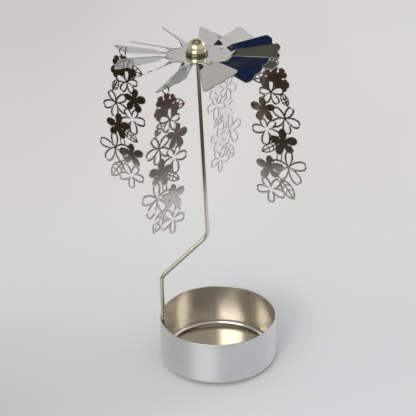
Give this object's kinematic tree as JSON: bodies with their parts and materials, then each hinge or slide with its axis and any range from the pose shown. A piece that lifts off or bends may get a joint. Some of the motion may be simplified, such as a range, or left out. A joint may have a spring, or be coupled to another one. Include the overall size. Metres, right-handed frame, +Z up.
{
  "type": "rotary tea light candlestick",
  "caption": "Tea light cup with a bent wire stem, whose needle point carries a turning fan of twisted blades hung with open-work blossom pendants.",
  "frame": {"origin": "centre of the cup's flat underside", "axes": "+Z up along the cup's axis; the stem stands in the XZ plane, at the cup's -X side; the picture looks along +Y, a little from -X"},
  "size_m": [0.0695, 0.0659, 0.1224],
  "materials": {
    "cup_steel": "satin, with faint drawing marks round the wall",
    "plated_wire": "bright nickel plate on wire",
    "mirror_sheet": "mirror-bright rolled sheet",
    "polished_cap": "polished, slightly warm",
    "etched_sheet": "mirror-bright thin sheet with soft etched edges"
  },
  "bodies": {
    "base": {"candle_cup": "cup_steel", "stem_wire": "plated_wire"},
    "rotor": {"fan_rotor": "mirror_sheet", "pivot_cap": "polished_cap", "cap_collar": "polished_cap"},
    "pendant_right": {"pendant_1": "etched_sheet"},
    "pendant_rear": {"pendant_2": "etched_sheet"},
    "pendant_left": {"pendant_3": "etched_sheet"},
    "pendant_front": {"pendant_4": "etched_sheet"}
  },
  "joints": [
    {"name": "rotor_spin", "type": "hinge", "parent": "base", "child": "rotor", "pos_m": [-0.0055, 0, 0.12195], "axis": [0, 0, 1], "continuous": true},
    {"name": "pendant_right_swing", "type": "hinge", "parent": "rotor", "child": "pendant_right", "pos_m": [0.01934, -0.00908, 0.11678], "axis": [-0.5461, -0.8377, 0], "range_deg": [-15, 25]},
    {"name": "pendant_rear_swing", "type": "hinge", "parent": "rotor", "child": "pendant_rear", "pos_m": [0.00385, 0.02464, 0.1152], "axis": [0.7649, -0.6441, 0], "range_deg": [-15, 25]},
    {"name": "pendant_left_swing", "type": "hinge", "parent": "rotor", "child": "pendant_left", "pos_m": [-0.03023, 0.00933, 0.11648], "axis": [0.5892, 0.808, 0], "range_deg": [-15, 25]},
    {"name": "pendant_front_swing", "type": "hinge", "parent": "rotor", "child": "pendant_front", "pos_m": [-0.01636, -0.02371, 0.11385], "axis": [-0.6807, 0.7325, 0], "range_deg": [-15, 25]}
  ]
}
